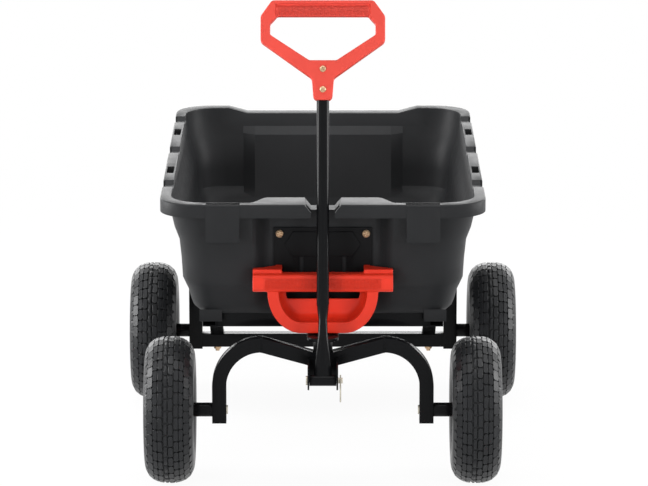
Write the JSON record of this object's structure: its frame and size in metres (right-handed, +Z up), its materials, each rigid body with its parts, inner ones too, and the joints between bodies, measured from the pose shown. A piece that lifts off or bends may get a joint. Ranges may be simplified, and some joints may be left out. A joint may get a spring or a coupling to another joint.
{
  "type": "tipping dump cart",
  "caption": "Garden cart with a black moulded tub that tips on a steel frame, a steered front axle with a D-grip pull handle, a red release handle and air tyres.",
  "frame": {"origin": "middle of the bounding box, on the ground under the tyres", "axes": "+Z up, the pulled end faces -Y, +X to the right as seen from the pulled end"},
  "size_m": [0.73, 1.095, 0.8464],
  "materials": {
    "frame_black": "gloss",
    "bare_steel": "satin",
    "washer_zinc": "satin",
    "yellow_zinc": "satin",
    "tub_plastic": "matte",
    "plate_plastic": "matte",
    "grip_red": "satin",
    "release_red": "satin",
    "tyre_rubber": "matte",
    "rim_red": "gloss"
  },
  "bodies": {
    "chassis": {"side_rails": "frame_black", "front_cross_member": "frame_black", "rear_cross_member": "frame_black", "kingpin_plate": "frame_black", "kingpin": "bare_steel", "kingpin_washers": "washer_zinc", "kingpin_nut": "yellow_zinc", "latch_keeper": "frame_black", "rear_beam": "frame_black", "rear_posts": "frame_black", "braces": "frame_black", "brace_bolts": "yellow_zinc", "pivot_rod": "bare_steel", "pivot_spacers": "frame_black", "rear_stub_axles": "bare_steel", "rear_spacers": "frame_black", "rear_axle_retainers": "washer_zinc"},
    "steering": {"front_crossbar": "frame_black", "front_left_leg": "frame_black", "front_right_leg": "frame_black", "kingpin_sleeve": "frame_black", "handle_clevis": "frame_black", "clevis_pin": "bare_steel", "hairpin_clip": "bare_steel", "front_stub_axles": "bare_steel", "front_spacers": "frame_black", "front_axle_retainers": "washer_zinc"},
    "pull_handle": {"handle_shaft": "frame_black", "handle_bush": "frame_black", "d_grip": "grip_red", "grip_screws": "yellow_zinc"},
    "tipping_tub": {"tub": "tub_plastic", "hinge_brackets": "frame_black", "floor_bolts": "yellow_zinc", "front_plate": "plate_plastic", "plate_screws": "yellow_zinc", "latch_pin": "bare_steel"},
    "latch": {"latch_hook": "bare_steel"},
    "release": {"release_handle": "release_red"},
    "wheel_front_left": {"front_left_tyre": "tyre_rubber", "front_left_outer_rim": "rim_red", "front_left_inner_rim": "rim_red", "front_left_hub": "washer_zinc", "front_left_rim_bolts": "yellow_zinc"},
    "wheel_front_right": {"front_right_tyre": "tyre_rubber", "front_right_outer_rim": "rim_red", "front_right_inner_rim": "rim_red", "front_right_hub": "washer_zinc", "front_right_rim_bolts": "yellow_zinc"},
    "wheel_rear_left": {"rear_left_tyre": "tyre_rubber", "rear_left_outer_rim": "rim_red", "rear_left_inner_rim": "rim_red", "rear_left_hub": "washer_zinc", "rear_left_rim_bolts": "yellow_zinc"},
    "wheel_rear_right": {"rear_right_tyre": "tyre_rubber", "rear_right_outer_rim": "rim_red", "rear_right_inner_rim": "rim_red", "rear_right_hub": "washer_zinc", "rear_right_rim_bolts": "yellow_zinc"}
  },
  "joints": [
    {"name": "tub_tip", "type": "hinge", "parent": "chassis", "child": "tipping_tub", "pos_m": [0, 0.1825, 0.2765], "axis": [-1, 0, 0], "range_deg": [0, 55]},
    {"name": "steer", "type": "hinge", "parent": "chassis", "child": "steering", "pos_m": [0, -0.4175, 0.22], "axis": [0, 0, 1], "range_deg": [-40, 40]},
    {"name": "handle_swing", "type": "hinge", "parent": "steering", "child": "pull_handle", "pos_m": [0, -0.4895, 0.201], "axis": [1, 0, 0], "range_deg": [0, 115]},
    {"name": "release_lift", "type": "slide", "parent": "tipping_tub", "child": "release", "axis": [0, 0, 1], "range_m": [0, 0.022]},
    {"name": "latch_swing", "type": "hinge", "parent": "tipping_tub", "child": "latch", "pos_m": [0, -0.3685, 0.312], "axis": [-1, 0, 0], "range_deg": [0, 8]},
    {"name": "front_left_roll", "type": "hinge", "parent": "steering", "child": "wheel_front_left", "pos_m": [-0.27, -0.4175, 0.13], "axis": [1, 0, 0], "continuous": true},
    {"name": "front_right_roll", "type": "hinge", "parent": "steering", "child": "wheel_front_right", "pos_m": [0.27, -0.4175, 0.13], "axis": [1, 0, 0], "continuous": true},
    {"name": "rear_left_roll", "type": "hinge", "parent": "chassis", "child": "wheel_rear_left", "pos_m": [-0.321, 0.1825, 0.13], "axis": [1, 0, 0], "continuous": true},
    {"name": "rear_right_roll", "type": "hinge", "parent": "chassis", "child": "wheel_rear_right", "pos_m": [0.321, 0.1825, 0.13], "axis": [1, 0, 0], "continuous": true}
  ],
  "couplings": [
    {"joint": "latch_swing", "follows": "release_lift", "rad_per_m": 6.346}
  ]
}
